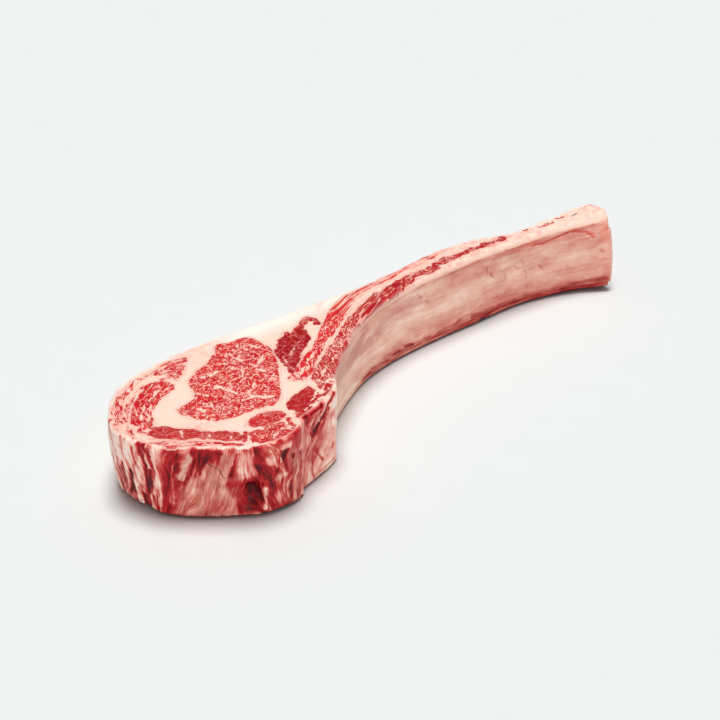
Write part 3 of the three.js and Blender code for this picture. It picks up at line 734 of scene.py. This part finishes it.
def beside(x, y, middle):
    """How far along and beside the middle of a band each place lies."""
    line = np.array([(-92, middle[0][1] - 12, 0)] + middle + [(TIP_X, 43, 0)])[:, :2]
    run = np.r_[0, np.cumsum(np.linalg.norm(np.diff(line, axis=0), axis=1))]
    level = 1 / np.hypot(1, np.interp(x, line[:, 0], np.gradient(line[:, 1], line[:, 0])))
    return np.interp(x, line[:, 0], run), (y - np.interp(x, line[:, 0], line[:, 1])) * level


def lean_looks(flat):
    """Depth inside the lean, and how the nearest muscle looks, at places of the upper face."""
    outlines = dict(MUSCLES, outer_strip=band(OUTER_STRIP), rib_meat=band(RIB_MEAT))
    torn = warped(flat, 71, 0.8)
    depths = []
    for name, outline in outlines.items():
        depth = depth_in(torn, outline)
        for width, *line in SHREDS.get(name, []):
            depth = np.maximum(depth, width / 2 - to_segments(torn, np.reshape(line, (-1, 2))))
        depths.append(depth)
    nearest = np.argmax(depths, 0)
    depth = np.max(depths, 0)
    lumpy = noise(spots(*flat.T), 5, 75, 2)
    depth -= (nearest == list(outlines).index("rib_meat")) * smooth(flat[:, 0], -20, 20) * (0.7 + 1.6 * lumpy)
    for width, *line in VEINS:
        depth = np.minimum(depth, to_segments(torn, np.reshape(line, (-1, 2))) - width / 2)
    fibre = np.zeros((len(flat), 3))
    shades = {key: np.zeros(len(flat)) for key in ("fleck", "dark", "lobe")}
    for k, name in enumerate(outlines):
        angle, stretch, fleck, dark, lobe = LEAN_LOOKS[name]
        mine = nearest == k
        x, y = flat[mine].T
        if angle is None:
            away = np.hypot(x - CAP_CENTRE[0], y - CAP_CENTRE[1])
            along, across = 45 * np.arctan2(y - CAP_CENTRE[1], x - CAP_CENTRE[0]), away
        elif angle == "band":
            along, across = beside(x, y, OUTER_STRIP if name == "outer_strip" else RIB_MEAT)
            stretch = mix(stretch, 4 if name == "outer_strip" else 2, smooth(x, -30, 20))
        else:
            turn = math.radians(angle)
            along = x * math.cos(turn) + y * math.sin(turn)
            across = y * math.cos(turn) - x * math.sin(turn)
        fibre[mine] = spots(across, along / stretch, 30 * k)
        if name == "rib_meat":
            fleck, dark = mix(fleck, 0.6, smooth(x, -40, 20)), mix(dark, 0.7, smooth(x, -40, 20))
        if name == "outer_strip":
            fleck = mix(fleck, 2.1, smooth(x, -40, 0))
        if name == "side":
            fleck, dark = mix(fleck, 0.6, smooth(y, 33, 37)), mix(dark, 0.5, smooth(y, 32, 36))
        for key, value in (("fleck", fleck), ("dark", dark), ("lobe", lobe)):
            shades[key][mine] = value
    return depth, fibre, shades


def rosiness(x, y):
    """How rosy the fat is on the upper face: at the outer end and its edges, and along the handle."""
    ends = np.maximum(smooth(-x, 178, 200), smooth(x, -60, 0)) * (1 - 0.5 * smooth(x, 120, 180))
    far_edge = 0.5 * smooth(y, 34, 46) * smooth(-x, 92, 120)
    near_edge = smooth(-y, 8, 24) * smooth(-x, 150, 175)
    return np.maximum(ends, np.maximum(far_edge, near_edge))


def build_flesh(material):
    wall, x, normals, along, z, hollow = wall_grid()
    rows, columns = z.shape
    top_grid, top_faces = fill(wall[-1, :, :2], TOP_CELL, 5)
    base_grid, base_faces = fill(wall[0, :, :2], BASE_CELL, 6)
    tops = settle(*top_grid.T, np.full(len(top_grid), float(THICKNESS)))
    bases = settle(*base_grid.T, np.zeros(len(base_grid)))
    points = np.vstack([wall.reshape(-1, 3), tops, bases])
    on_wall, on_top, on_base = rows * columns, len(tops), len(bases)
    last_row = (rows - 1) * columns
    faces = tube_faces(rows, columns)
    faces += [[i + last_row if i < columns else i - columns + on_wall for i in face] for face in top_faces]
    shift = on_wall + on_top - columns
    faces += [[i if i < columns else i + shift for i in face[::-1]] for face in base_faces]

    # where a point shows the wall, and where the cut faces
    x, z, along, hollow = (np.ravel(part) for part in (x, z, along, hollow))
    height = np.r_[z, np.full(on_top, float(THICKNESS)), np.zeros(on_base)]
    ragged = noise(spots(along * (1 - 0.65 * hollow), 0 * z, 7), 4.5, 13, 3)
    rim = THICKNESS - 0.6 + 1.4 * ragged + 1.8 * lookup(along, RIM) * (1 - hollow)
    sides = 1 - smooth(z, rim - 1 - 4 * hollow, rim + 0.9)
    walled = np.r_[sides, np.zeros(on_top + on_base)]
    upper = height > THICKNESS / 2

    flat = unwander(points[:, 0], points[:, 1], height)
    depth, fibre, shades = lean_looks(flat)
    back = smooth(normals[..., 1], 0.1, 0.7).ravel()
    tone, tints, streaky, streaks, relief = wall_looks(along, x, z, hollow, back)
    # painted shade: away from the back, the drawn-in foot is darkened towards the darkest red, as if shaded
    # under the wall
    high = lookup(along, UNDERCUT_HIGH)
    foot = (1 - back) * (1 - smooth(z, 0.5 * high, 0.9 * high))
    tone = mix(tone, PAINTED_SHADE_TONE, 0.95 * foot)
    bare = np.full(len(points), -1.0)
    torn, torn_tints = paint(TOP_MARKS, points[:, :2], bare, 0 * bare, 61)
    marked = np.maximum(smooth(torn, -0.6, 0), torn_tints["line"]) * upper
    tone = np.r_[mix(torn[:on_wall], tone, sides), torn[on_wall:]]
    for kind, cover in torn_tints.items():
        cover = cover * upper
        tints[kind] = np.r_[mix(cover[:on_wall], tints[kind], sides), cover[on_wall:]]
    fibre[:on_wall] = np.where(sides[:, None] > 0.5, streaks, fibre[:on_wall])

    bump = noise(points, 2.6, 21, 2) * 0.13 + noise(points, 8, 22) * 0.22
    lift = (0.5 * smooth(depth, -1.6, 1.2) - 0.2 + bump - 0.5 * marked) * (1 - walled)
    lift[:on_wall] += sides * relief
    lift[on_wall + on_top:] = -0.35 * (1 - smooth(depth[on_wall + on_top:], -1.5, 1))
    points = points + point_normals(points, faces) * lift[:, None]
    points[:, 2] = np.maximum(points[:, 2], 0)

    x, y = points[:, :2].T
    whiter = smooth(y, 36, 50) * (1 - smooth(x, -20, 60)) * smooth(x, -125, -85)
    whiter[:on_wall] = np.maximum(back, whiter[:on_wall])
    attributes = dict(
        tints, **shades, depth=depth, fibre=fibre, rosy=rosiness(*flat.T), fatty=whiter,
        tone=np.clip(tone, -0.2, 1.2), walled=np.maximum(walled, marked),
        streaky=np.r_[streaky, np.full(on_top + on_base, 0.3)],
    )
    return make_piece("flesh", points, faces, attributes, material)


# ---------------- the rib
RIB_STEP = 1.15
RIB_CELL = 1.0
RIB_PROUD = 0.25  # out of the wall
SAWN_PROUD = 0.35  # out of the sawn end
RIB_ROUND = 2.4  # along the upper and lower edge of its face
HEEL_SINK = 2.2
FACE_STEPS = 46
BACK_STEPS = 12
END_ROWS = 7  # of quads between the last ring along the rib and the sawn face
SAWN_TONE = 0.2


def end_x(y, z, place, normal):
    """How far the sawn end reaches at a nominal place across it."""
    sawn = (normal[:, 0] > 0.3) & (place[:, 0] > TIP_X - 10)
    order = np.argsort(place[sawn, 1])
    edge_x = np.interp(y, place[sawn, 1][order], place[sawn, 0][order])
    return edge_x - wall_inset(TIP_X, 1.0, 0.0, z)


def build_rib(material):
    place, normal, _ = resample(OUTLINE, evenly(RIB_STEP))
    hollow = np.arange(len(place)) > len(place) / 2
    kept = hollow & (place[:, 0] > HEEL_X + BONE_START) & (place[:, 0] < TIP_X - 8)
    line, side = place[kept], normal[kept]
    slim = smooth(line[:, 0], SLIM_START_X, SLIM_END_X)
    high = bone_high(line[:, 0])
    depth = mix(BONE_DEPTH, BONE_DEPTH_TIP, slim)
    share = np.linspace(0, 1, FACE_STEPS)
    arc = np.linspace(math.pi, 0, BACK_STEPS)[1:-1]
    z = np.concatenate([
        BONE_LOW + (high - BONE_LOW)[:, None] * share,
        ((BONE_LOW + high) / 2)[:, None] - ((high - BONE_LOW) / 2)[:, None] * np.cos(arc),
    ], axis=1)
    x = np.broadcast_to(line[:, :1], z.shape)
    normals = np.broadcast_to(side[:, None], z.shape + (2,))
    face = np.arange(z.shape[1]) < len(share)
    edge = np.minimum(z - BONE_LOW, high[:, None] - z)
    heel = HEEL_SINK * (1 - smooth(x, HEEL_X + BONE_START + 2, HEEL_X + BONE_START + 11))
    bare = dressed_inset(x, normals[..., 0], normals[..., 1], z) - RIB_PROUD + heel
    bare = bare + quarter(RIB_ROUND, RIB_ROUND - edge)
    spot = spots(x, z)
    waves = 0.35 * noise(spot * [0.3, 1, 1], 9, 41, 2) + 0.1 * noise(spot * [0.6, 1, 1], 2.5, 42)
    relief = 0.5 * face_looks(x.ravel(), z.ravel())[4] + waves
    bare = bare - relief.reshape(z.shape) * smooth(edge, 1, 4)
    bare[:, ~face] = depth[:, None] * np.sin(arc)[None] ** 0.8

    # the sawn end, whose rings follow the last one and whose face fills it
    level = line[-1, 1]
    ring = np.stack([level + bare[-1], z[-1]], 1)[::-1]
    grid, cap_faces = fill(ring, RIB_CELL, 8)
    flat = np.vstack([ring[::-1], grid])
    cap_x = end_x(flat[:, 0], flat[:, 1], place, normal) + SAWN_PROUD
    count = z.shape[1]
    reach = np.linspace(0, 1, END_ROWS + 1)[1:-1, None]
    x = np.vstack([x, mix(line[-1, 0], cap_x[:count], reach)])
    y = np.broadcast_to(line[:, 1:], z.shape)
    y, normals, bare, z = (
        np.concatenate([part, np.broadcast_to(part[-1], (END_ROWS - 1,) + part[-1].shape)])
        for part in (y, normals, bare, z)
    )
    rings = inside(np.stack([x, y], -1), normals, bare, z)
    edge_on = np.stack([cap_x, np.full(len(flat), level)], 1)
    cap = inside(edge_on, np.array([[0.0, -1.0]]), flat[:, 0] - level, flat[:, 1])
    points = np.vstack([rings.reshape(-1, 3), cap])
    first = len(rings) * count
    faces = [corners[::-1] for corners in tube_faces(len(rings) + 1, count)]
    faces += [[(count - 1 - i if i < count else i) + first for i in corners] for corners in cap_faces]
    faces.append(list(range(count)))
    core = np.zeros(len(points))
    core[first:] = to_segments(flat, np.vstack([ring, ring[:1]]))
    tone, tints, streaky, fibre, _ = face_looks(x.ravel(), z.ravel())
    on_end = np.zeros(len(flat))
    attributes = {name: np.r_[values, on_end] for name, values in dict(tints, streaky=streaky).items()}
    attributes["tone"] = np.r_[tone, on_end + SAWN_TONE]
    attributes["fibre"] = np.vstack([fibre, spots(*flat.T)])
    attributes["core"] = core
    return make_piece("rib", points, faces, attributes, material)


# ---------------- materials
def colour(red, green, blue):
    """A colour as it shows on a screen, from 0 to 255, made linear for the renderer."""
    def linear(value):
        value /= 255
        return value / 12.92 if value <= 0.04045 else ((value + 0.055) / 1.055) ** 2.4

    return (linear(red), linear(green), linear(blue), 1)


class Value:
    """What a node gives, which can be added to, subtracted and multiplied like a number."""

    def __init__(self, nodes, socket):
        self.nodes = nodes
        self.socket = socket

    def __add__(self, other):
        return self.nodes.math("ADD", self, other)

    def __sub__(self, other):
        return self.nodes.math("SUBTRACT", self, other)

    def __rsub__(self, other):
        return self.nodes.math("SUBTRACT", other, self)

    def __mul__(self, other):
        return self.nodes.math("MULTIPLY", self, other)


class Nodes:
    """Builds a material's node tree. Every input may be a number, a colour or another node's Value."""

    def __init__(self, name):
        self.material = bpy.data.materials.new(name)
        self.material.use_nodes = True
        self.tree = self.material.node_tree
        self.tree.nodes.clear()

    def add(self, kind, inputs, output=0, **settings):
        node = self.tree.nodes.new("ShaderNode" + kind)
        for key, value in settings.items():
            setattr(node, key, value)
        for key, value in inputs.items():
            if isinstance(value, Value):
                self.tree.links.new(value.socket, node.inputs[key])
            else:
                node.inputs[key].default_value = value
        return Value(self, node.outputs[output])

    def number(self, name):
        return self.add("Attribute", {}, "Fac", attribute_name=name)

    def math(self, operation, a, b=0.0):
        return self.add("Math", {0: a, 1: b}, operation=operation)

    def step(self, value, low, high):
        """0 below low, 1 above high, smooth between; the other way round where low is the greater."""
        inputs = {"Value": value, "From Min": min(low, high), "From Max": max(low, high)}
        if low > high:
            inputs.update({"To Min": 1.0, "To Max": 0.0})
        return self.add("MapRange", inputs, interpolation_type="SMOOTHSTEP")

    def mix(self, share, a, b):
        return self.add("Mix", {0: share, 6: a, 7: b}, 2, data_type="RGBA")

    def scaled(self, vector, factors):
        return self.add("VectorMath", {0: vector, 1: factors}, operation="MULTIPLY")

    def noise(self, vector, scale, detail=2.0, roughness=0.5, distortion=0.0, output=0):
        names = ("Vector", "Scale", "Detail", "Roughness", "Distortion")
        return self.add("TexNoise", dict(zip(names, (vector, scale, detail, roughness, distortion))), output)

    def ramp(self, value, stops):
        """A colour by value, from stops of a value and a screen colour."""
        node = self.tree.nodes.new("ShaderNodeValToRGB")
        self.tree.links.new(value.socket, node.inputs["Fac"])
        elements = node.color_ramp.elements
        for _ in stops[2:]:
            elements.new(0.5)
        for element, (at, shade) in zip(elements, stops):
            element.position = at
            element.color = colour(*shade)
        return Value(self, node.outputs["Color"])

    def ridge(self, value, width):
        """1 on the thin lines where a noise crosses its middle."""
        return self.step(self.math("ABSOLUTE", value - 0.5), width, width * 0.35)

    def show(self, shader):
        """Makes a shader the material's surface, and gives the material."""
        output = self.tree.nodes.new("ShaderNodeOutputMaterial")
        self.tree.links.new(shader.socket, output.inputs["Surface"])
        return self.material

    def finish(self, base, height, roughness, bump, subsurface):
        """Moist flesh: a thin wet coat over a surface that lets light a little way in."""
        return self.show(self.add("BsdfPrincipled", {
            "Base Color": base,
            "Roughness": roughness,
            "Normal": self.add("Bump", {"Height": height, "Strength": bump, "Distance": 0.0006}),
            "Specular IOR Level": 0.15,
            "Subsurface Weight": subsurface,
            "Subsurface Radius": (1.0, 0.35, 0.25),
            "Subsurface Scale": 0.0008,
            "Coat Weight": 0.06,
            "Coat Roughness": 0.22,
        }))


RED = colour(212, 30, 42)
RED_LIGHT = colour(226, 54, 52)
RED_DARK = colour(138, 0, 14)
FLECK = colour(255, 202, 184)
FAT_CREAM = colour(250, 214, 197)
FAT_PINK = colour(250, 196, 180)
FAT_WHITE = colour(255, 238, 226)
LINE_PINK = colour(228, 138, 126)
ROSY = colour(234, 142, 130)
SILVERSKIN = colour(236, 190, 172)
SILVERSKIN_DARK = colour(192, 118, 108)
BLUISH = colour(194, 118, 112)
EMBER = colour(226, 96, 78)
HAIRLINE = colour(92, 26, 24)
MARROW = colour(150, 52, 44)
MARROW_PALE = colour(214, 148, 134)
FLOOR_GREY = colour(236, 240, 239)
FLOOR_PALE = colour(239, 243, 242)
# Screen colours from pale fat to the darkest red, of the flesh's walls, of membrane and of the rib's face.
# The flesh's palest stop also carries the heel's painted highlight.
FLESH_TONES = [
    (0, (255, 226, 212)), (0.12, (248, 196, 180)), (0.28, (236, 152, 138)), (0.42, (213, 97, 87)),
    (0.56, (190, 40, 42)), (0.7, (174, 8, 22)), (0.85, (122, 0, 10)), (1, (76, 0, 6)),
]
MEMBRANE_TONES = [
    (0, (240, 190, 168)), (0.2, (226, 158, 138)), (0.36, (197, 115, 98)), (0.52, (173, 70, 62)),
    (0.7, (146, 26, 30)), (0.85, (112, 8, 14)), (1, (70, 0, 6)),
]
RIB_TONES = [
    (0, (246, 214, 196)), (0.12, (236, 190, 170)), (0.28, (222, 158, 140)), (0.44, (204, 120, 106)),
    (0.6, (176, 80, 68)), (0.8, (142, 42, 38)), (1, (96, 14, 16)),
]


def add_tints(n, base, fibre):
    """Lays the painted tints over a wall's own colour, with edges torn along its fibres."""
    shift = n.noise(fibre, 0.8, 4.0, 0.65) - 0.5

    def over(base, kind, softness, shade, most):
        covered = n.step(n.number(kind) + shift, 0.5 - softness, 0.5 + softness)
        return n.mix(covered * most, base, shade)

    base = over(base, "blue", 0.5, BLUISH, 0.65)
    base = over(base, "ember", 0.4, EMBER, 0.7)
    fibrous = n.mix(n.step(n.noise(fibre, 0.9, 3.0, 0.6), 0.4, 0.7), SILVERSKIN, SILVERSKIN_DARK)
    base = over(base, "skin", 0.25, fibrous, 0.8)
    return n.mix(n.step(n.number("line"), 0.3, 0.8), base, HAIRLINE)


def lean_colour(n, fibre, tone, where):
    """Lean where it is cut: its colour, and where the marbling lies in it."""
    fleck = n.number("fleck")
    richer = n.noise(fibre, 0.42, 3.0, 0.6, 0.5) + (where - 0.5) * 0.16 + (fleck - 1.0) * 0.1
    worms = n.noise(fibre, 0.22, 2.0, 0.5, 1.3)
    pale = n.math("MAXIMUM", n.step(richer, 0.555, 0.605), n.ridge(worms, 0.03))
    pale = pale * n.math("MINIMUM", fleck * 1.3, 1.0)
    swirl = n.scaled(n.noise(fibre, 0.3, output="Color"), (6, 6, 6))
    bent = n.add("VectorMath", {0: fibre, 1: swirl}, operation="ADD")
    cells = n.add("TexVoronoi", {"Vector": bent, "Scale": 0.21}, feature="DISTANCE_TO_EDGE")
    faded = cells + n.step(n.noise(fibre, 0.5), 0.45, 0.65) * 0.07
    pale = n.math("MAXIMUM", pale, n.step(faded, 0.09, 0.0) * n.number("lobe"))

    lean = n.mix(n.step(tone, 0.35, 0.65), RED, RED_LIGHT)
    grain = n.noise(fibre, 0.9, 2.0, 0.6)
    lean = n.mix(n.step(grain, 0.55, 0.35) * 0.58, lean, RED_DARK)
    lump = n.step(cells, 0.0, 0.35) * 0.35 + 0.6
    lean = n.mix(n.number("dark") * lump, lean, RED_DARK)
    return n.mix(pale * 0.85, lean, FLECK), pale


def fat_colour(n, fibre, tone, where, outside):
    """Fat where it is cut, with fine pink lines beside the lean."""
    rings = n.math("SINE", outside * 2.6 + tone * 9.0)
    lines = n.step(rings, 0.75, 0.98) * n.step(outside, 5.0, 0.5)
    wide = outside + (where - 0.5) * 8.0
    fat = n.mix(n.step(wide, -0.8, 2.2), FAT_PINK, FAT_CREAM)
    fat = n.mix(lines * 0.42, fat, LINE_PINK)
    fat = n.mix(n.number("fatty") * n.step(wide, 0.0, 3.0), fat, FAT_WHITE)
    rosy = n.step(n.noise(fibre, 0.26, 4.0, 0.6), 0.4, 0.68) * n.number("rosy")
    return n.mix(rosy * 0.75, fat, ROSY)


def flesh_material():
    n = Nodes("raw_flesh")
    fibre = n.add("Attribute", {}, "Vector", attribute_name="fibre")
    depth = n.number("depth")
    tone = n.noise(fibre, 0.14)
    where = n.noise(fibre, 0.07)
    lean, pale = lean_colour(n, fibre, tone, where)
    fat = fat_colour(n, fibre, tone, where, depth * -1.0)
    rough_edge = n.noise(fibre, 0.36, 3.0, 0.65) - 0.5
    edge = n.step(depth + rough_edge * 5.0, -0.2, 0.35)
    cut = n.mix(edge, fat, lean)

    walled = n.number("walled")
    streak = n.noise(fibre, 0.55, 4.0, 0.65)
    value = n.number("tone") + (streak - 0.5) * (n.number("streaky") * 2.6)
    wall = n.mix(n.number("tan"), n.ramp(value, FLESH_TONES), n.ramp(value, MEMBRANE_TONES))
    base = n.mix(walled, cut, add_tints(n, wall, fibre))
    height = pale * (edge * (1.0 - walled)) + streak * 1.2
    return n.finish(base, height, 0.5 - n.noise(fibre, 0.3) * 0.2, 0.35, 0.15)


def rib_material():
    n = Nodes("rib_membrane")
    fibre = n.add("Attribute", {}, "Vector", attribute_name="fibre")
    streak = n.noise(fibre, 0.5, 3.0, 0.6, 0.3)
    cloud = n.noise(n.scaled(fibre, (1, 5, 1)), 0.09, 4.0, 0.6)
    value = n.number("tone") + (cloud - 0.5) * 0.5
    base = n.ramp(value + (streak - 0.5) * (n.number("streaky") * 1.6), RIB_TONES)
    base = add_tints(n, base, fibre)
    pores = n.add("TexVoronoi", {"Vector": fibre, "Scale": 0.7}, "Distance")
    spongy = n.mix(n.step(pores, 0.25, 0.6), MARROW, MARROW_PALE)
    base = n.mix(n.step(n.number("core") + streak * 1.5, 2.2, 3.2), base, spongy)
    return n.finish(base, streak, 0.48 - cloud * 0.2, 0.25, 0.12)


# ---------------- floor, light and camera
VIEW_AZIMUTH = -35
VIEW_ELEVATION = 35
VIEW_DISTANCE = 1.342
VIEW_TARGET = Vector((-0.023, 0.0109, 0.030))
VIEW_SHIFT = 1 / 720  # of the picture's width, upwards
LENS = 100
SENSOR = 36
FLOOR_SIZE = 12
SKY_LOW = 0.02  # the sky's strength below, and straight above
SKY_HIGH = 0.4
KEY = (145, 83.5, 2.3, 22)  # azimuth, elevation, strength, and how wide the light is
FILLS = {"fill": (-8, 16, 1.36, 50), "side_fill": (-85, 18, 0.46, 50)}  # they light the steak alone


def stage():
    bpy.ops.mesh.primitive_plane_add(size=FLOOR_SIZE, location=(0, 0, 0))
    floor = bpy.context.object
    floor.name = "floor"
    n = Nodes("pale_floor")
    speckle = n.noise(n.add("TexCoord", {}, "Object"), 40.0)
    shade = n.mix(speckle, FLOOR_GREY, FLOOR_PALE)
    floor.data.materials.append(n.show(n.add("BsdfDiffuse", {"Color": shade})))


def towards(azimuth, elevation):
    """The direction from the steak to something. Azimuth 0 is -Y, the steak's near side."""
    turn, rise = math.radians(azimuth), math.radians(elevation)
    return Vector((math.sin(turn) * math.cos(rise), -math.cos(turn) * math.cos(rise), math.sin(rise)))


def sun(name, azimuth, elevation, strength, spread):
    light = bpy.data.lights.new(name, "SUN")
    light.energy = strength
    light.angle = math.radians(spread)
    lamp = bpy.data.objects.new(name, light)
    bpy.context.scene.collection.objects.link(lamp)
    source = towards(azimuth, elevation)
    lamp.location = source * 2
    lamp.rotation_euler = source.to_track_quat("Z", "Y").to_euler()
    return lamp


def light_up(lit):
    world = bpy.data.worlds.new("studio")
    world.use_nodes = True
    tree = world.node_tree
    rise = tree.nodes.new("ShaderNodeSeparateXYZ")
    tree.links.new(tree.nodes.new("ShaderNodeTexCoord").outputs["Generated"], rise.inputs[0])
    height = tree.nodes.new("ShaderNodeMapRange")
    tree.links.new(rise.outputs["Z"], height.inputs["Value"])
    height.inputs["To Min"].default_value = SKY_LOW
    height.inputs["To Max"].default_value = SKY_HIGH
    height.interpolation_type = "SMOOTHSTEP"
    tree.links.new(height.outputs[0], tree.nodes["Background"].inputs["Strength"])
    tree.nodes["Background"].inputs["Color"].default_value = (1, 1, 1, 1)
    bpy.context.scene.world = world
    sun("key", *KEY)
    group = bpy.data.collections.new("lit_by_fill")
    for piece in lit:
        group.objects.link(piece)
    for name, light in FILLS.items():
        sun(name, *light).light_linking.receiver_collection = group


def camera():
    back = towards(VIEW_AZIMUTH, VIEW_ELEVATION)
    data = bpy.data.cameras.new("view")
    data.lens = LENS
    data.sensor_width = SENSOR
    data.clip_end = 20
    data.shift_y = VIEW_SHIFT
    eye = bpy.data.objects.new("view", data)
    eye.location = VIEW_TARGET + back * VIEW_DISTANCE
    eye.rotation_euler = back.to_track_quat("Z", "Y").to_euler()
    bpy.context.scene.collection.objects.link(eye)
    bpy.context.scene.camera = eye


def main():
    camera()
    stage()
    bpy.context.scene.view_settings.view_transform = "Standard"
    flesh = build_flesh(flesh_material())
    names = [f"{name}_muscle" for name in MUSCLES]
    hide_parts("fat", *names, "outer_strip_muscle", "rib_meat_upper", "rib_meat_lower")
    rib = build_rib(rib_material())
    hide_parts("rib_bone")
    light_up([flesh, rib])


main()
